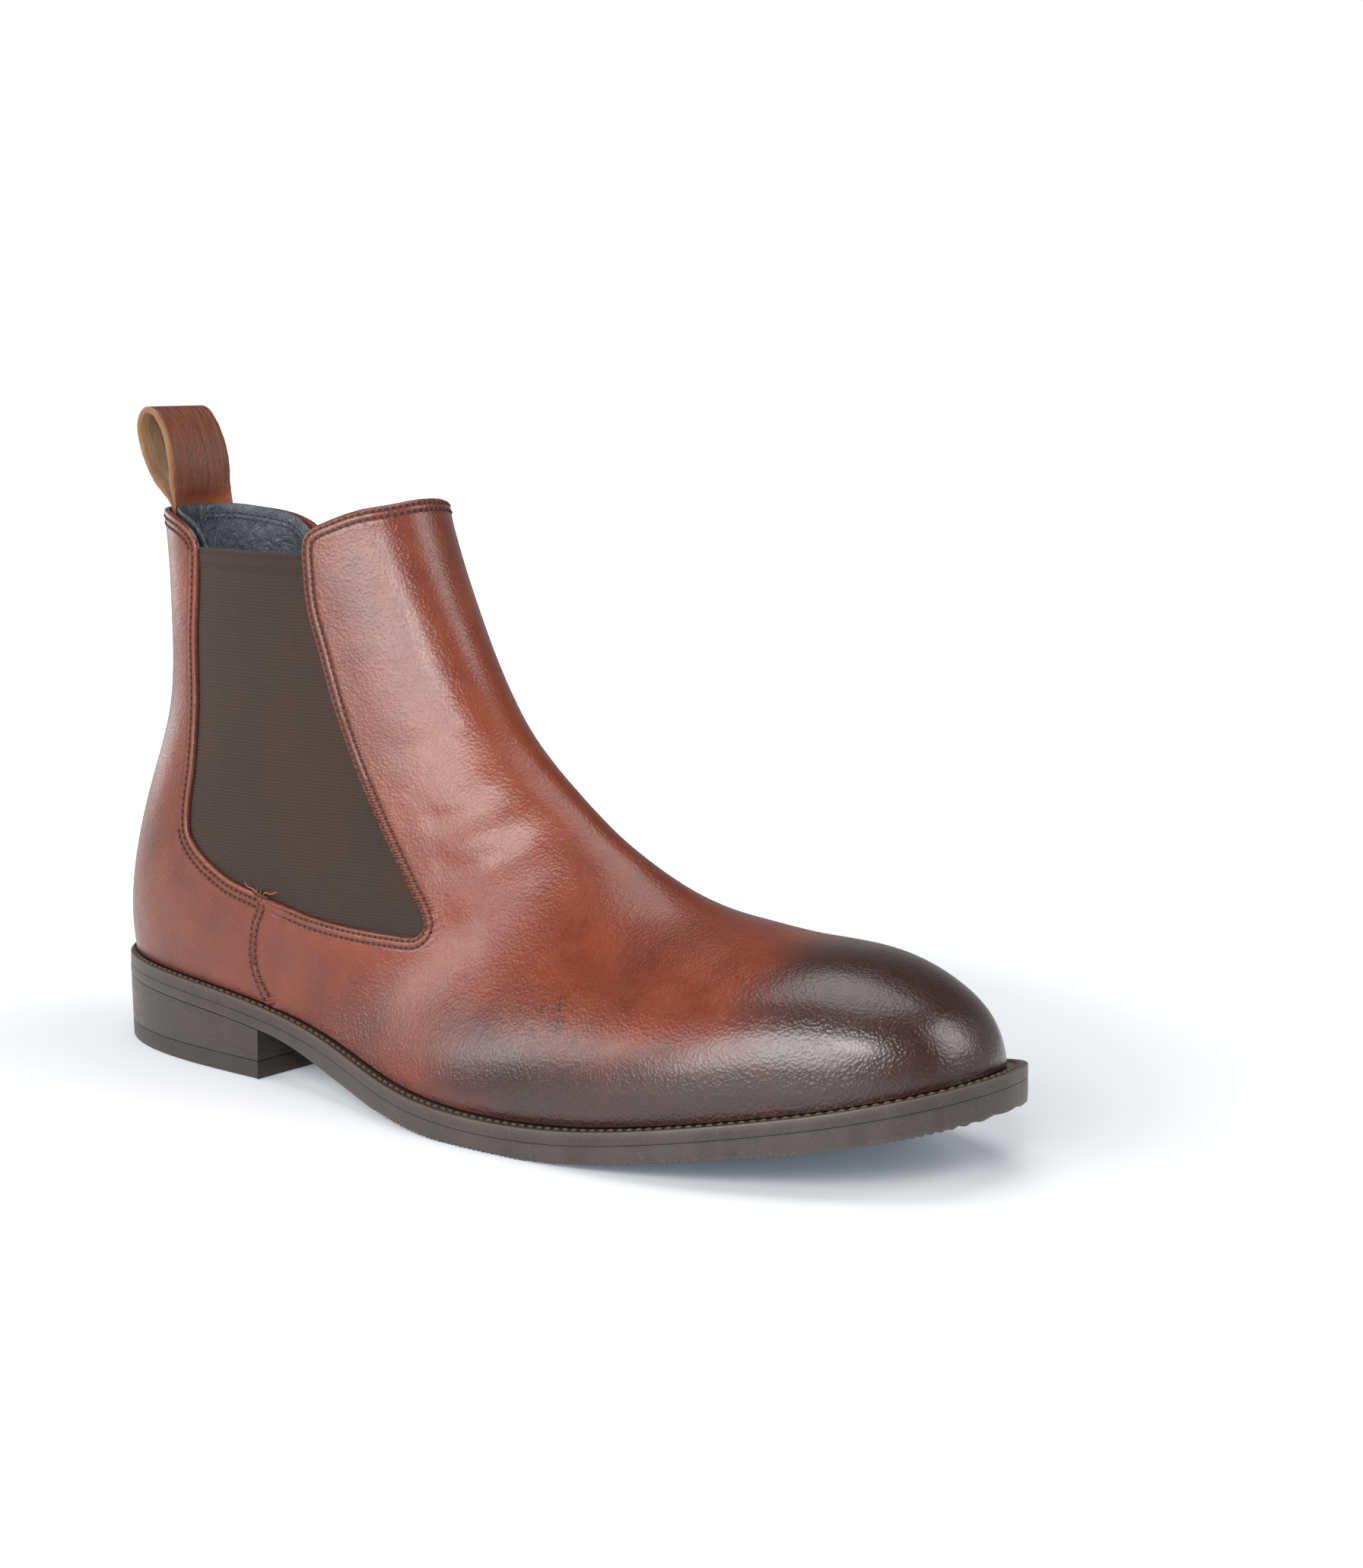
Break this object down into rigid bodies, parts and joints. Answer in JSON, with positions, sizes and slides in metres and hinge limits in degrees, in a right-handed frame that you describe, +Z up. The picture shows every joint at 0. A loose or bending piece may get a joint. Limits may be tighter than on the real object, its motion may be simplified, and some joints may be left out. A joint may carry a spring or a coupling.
{
  "type": "chelsea boot",
  "caption": "Ankle-high right chelsea boot with elastic side gores, low stacked heel, soft-square toe and a hinged pull loop at the back of the collar.",
  "frame": {"origin": "centre of the bounding box in plan, on the ground plane the heel and tread stand on", "axes": "+X from heel to toe, +Y to the inner (medial) side of the foot, +Z up"},
  "size_m": [0.3122, 0.1066, 0.1928],
  "materials": {
    "cognac_leather": "burnished, semi-gloss",
    "brown_elastic": "woven elastic, matt",
    "navy_lining_leather": "soft satin",
    "strap_leather": "satin, raw suede inside",
    "insole_board": "matt fibre board",
    "cork": "matt",
    "stiffener_board": "matt",
    "dark_welt": "dyed, satin edge",
    "dark_rubber": "satin edge, ribbed tread",
    "heel_stack": "dyed and polished stack",
    "shank_steel": "plain",
    "brown_thread": "waxed thread"
  },
  "bodies": {
    "boot": {"outsole": "dark_rubber", "welt": "dark_welt", "heel_block": "heel_stack", "heel_top_piece": "dark_rubber", "shank": "shank_steel", "cork_filler": "cork", "insole_board": "insole_board", "sock_liner": "navy_lining_leather", "welt_stitch_cord": "brown_thread", "vamp": "cognac_leather", "quarter": "cognac_leather", "gore_lateral": "brown_elastic", "gore_medial": "brown_elastic", "heel_counter": "stiffener_board", "toe_puff": "stiffener_board", "quarter_lining_lateral": "navy_lining_leather", "quarter_lining_medial": "navy_lining_leather", "vamp_lining": "navy_lining_leather", "pull_loop_tail": "strap_leather"},
    "loop": {"pull_loop": "strap_leather"}
  },
  "joints": [
    {"name": "pull_loop_hinge", "type": "hinge", "parent": "boot", "child": "loop", "pos_m": [-0.13388, 0, 0.1649], "axis": [0, 1, 0], "range_deg": [-50, 75], "stiffness_Nm_per_rad": 0.02}
  ]
}
